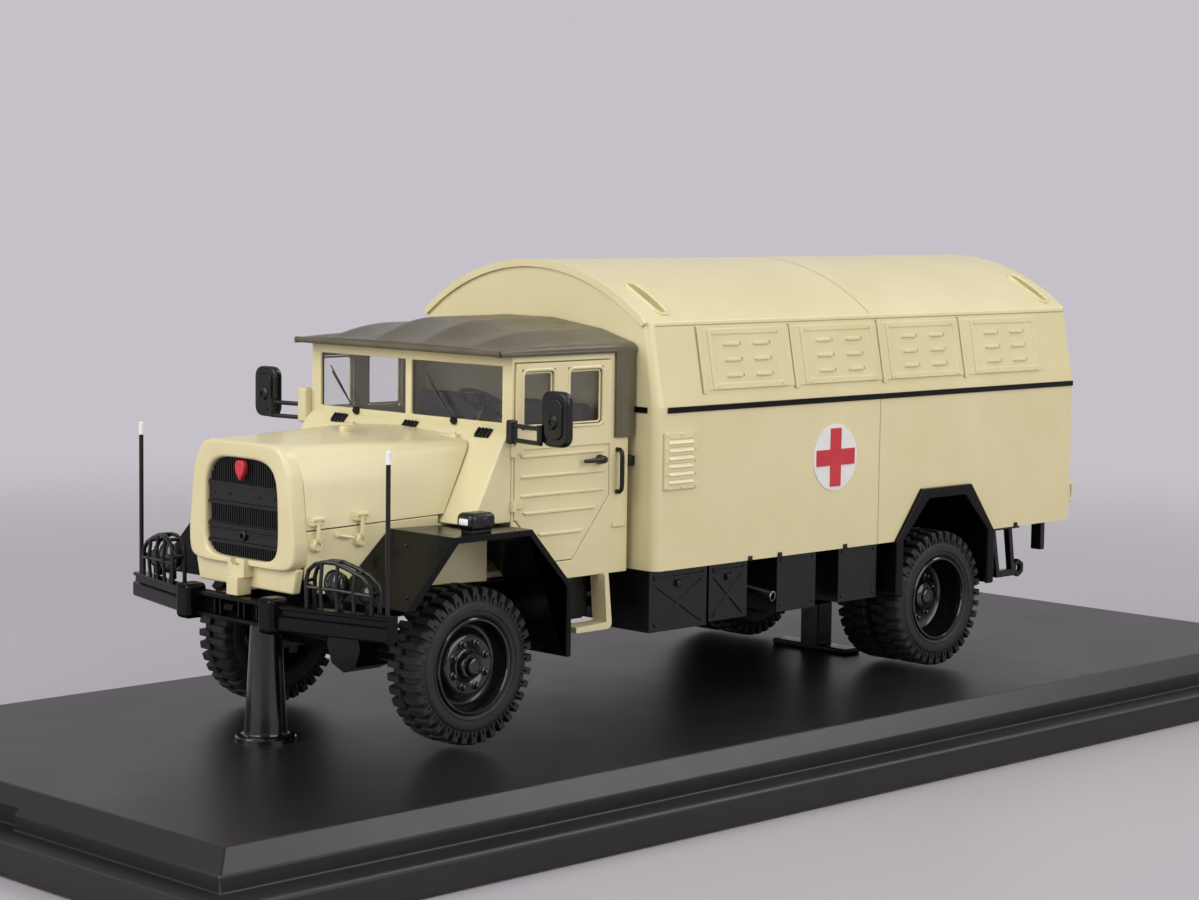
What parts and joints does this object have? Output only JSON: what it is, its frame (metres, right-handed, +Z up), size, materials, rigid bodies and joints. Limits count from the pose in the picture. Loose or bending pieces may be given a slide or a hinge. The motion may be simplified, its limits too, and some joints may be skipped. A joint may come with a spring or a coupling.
{
  "type": "scale model of a military ambulance truck on a display plinth",
  "caption": "Small-scale cream ambulance truck with a box body, canvas cab roof and free-turning wheels, carried by two stands on a black display plinth.",
  "frame": {"origin": "middle of the plinth's underside, on the surface it stands on", "axes": "+X to the truck's front, +Y to the truck's left, +Z up"},
  "size_m": [0.26, 0.1116, 0.0786],
  "materials": {
    "plinth_black": "satin black moulded plastic with a fine grain",
    "cream_enamel": "satin cream enamel",
    "black_enamel": "satin black enamel",
    "black_plastic": "semi-matt black moulded plastic",
    "tyre_rubber": "matt black soft plastic tyre",
    "canvas_olive": "matt olive-grey moulded tilt",
    "clear_glazing": "clear moulded glazing",
    "lamp_lens": "clear lamp lens over a bright reflector",
    "red_enamel": "satin red",
    "bright_steel": "bright plated",
    "cab_grey": "dark grey moulded plastic",
    "white_enamel": "satin white print"
  },
  "bodies": {
    "model": {"belt_strips": "black_enamel", "bonnet": "cream_enamel", "bonnet_latches": "cream_enamel", "box_lower": "cream_enamel", "box_upper": "cream_enamel", "cab_doors": "cream_enamel", "cab_glazing": "clear_glazing", "cab_seats": "cab_grey", "cab_shell": "cream_enamel", "cab_steps": "cream_enamel", "canvas_roof": "canvas_olive", "chassis_frame": "black_plastic", "dashboard": "cab_grey", "door_handles": "black_plastic", "engine_block": "black_plastic", "exhaust_pipe": "bright_steel", "front_axle": "black_plastic", "front_bumper": "black_enamel", "front_pillar": "black_plastic", "front_wings": "black_enamel", "grille_boss": "red_enamel", "headlamp_cages": "black_plastic", "headlamps": "lamp_lens", "leaf_springs": "black_plastic", "marker_rods": "black_plastic", "medical_crosses": "red_enamel", "medical_discs": "white_enamel", "mirrors": "black_plastic", "plinth": "plinth_black", "propeller_shafts": "black_plastic", "radiator_grille": "black_plastic", "radiator_shell": "cream_enamel", "rear_axle": "black_plastic", "rear_brackets": "black_plastic", "rear_door": "cream_enamel", "rear_lamps": "black_plastic", "rear_mudguards": "black_enamel", "rear_stand": "black_plastic", "scuttle": "cream_enamel", "side_lockers": "black_plastic", "side_panels": "cream_enamel", "steering_wheel": "black_plastic", "vent_flaps": "cream_enamel", "vent_panels": "cream_enamel", "wing_lamps": "black_plastic", "wipers": "black_plastic"},
    "front_left_wheel": {"front_left_tyre": "tyre_rubber", "front_left_rim": "black_plastic"},
    "front_right_wheel": {"front_right_tyre": "tyre_rubber", "front_right_rim": "black_plastic"},
    "rear_left_wheels": {"rear_left_tyres": "tyre_rubber", "rear_left_rims": "black_plastic"},
    "rear_right_wheels": {"rear_right_tyres": "tyre_rubber", "rear_right_rims": "black_plastic"}
  },
  "joints": [
    {"name": "front_left_wheel_spin", "type": "hinge", "parent": "model", "child": "front_left_wheel", "pos_m": [0.06035, 0.022, 0.0214], "axis": [0, 1, 0], "continuous": true},
    {"name": "front_right_wheel_spin", "type": "hinge", "parent": "model", "child": "front_right_wheel", "pos_m": [0.06035, -0.022, 0.0214], "axis": [0, 1, 0], "continuous": true},
    {"name": "rear_left_wheels_spin", "type": "hinge", "parent": "model", "child": "rear_left_wheels", "pos_m": [-0.04415, 0.0206, 0.0214], "axis": [0, 1, 0], "continuous": true},
    {"name": "rear_right_wheels_spin", "type": "hinge", "parent": "model", "child": "rear_right_wheels", "pos_m": [-0.04415, -0.0206, 0.0214], "axis": [0, 1, 0], "continuous": true}
  ]
}
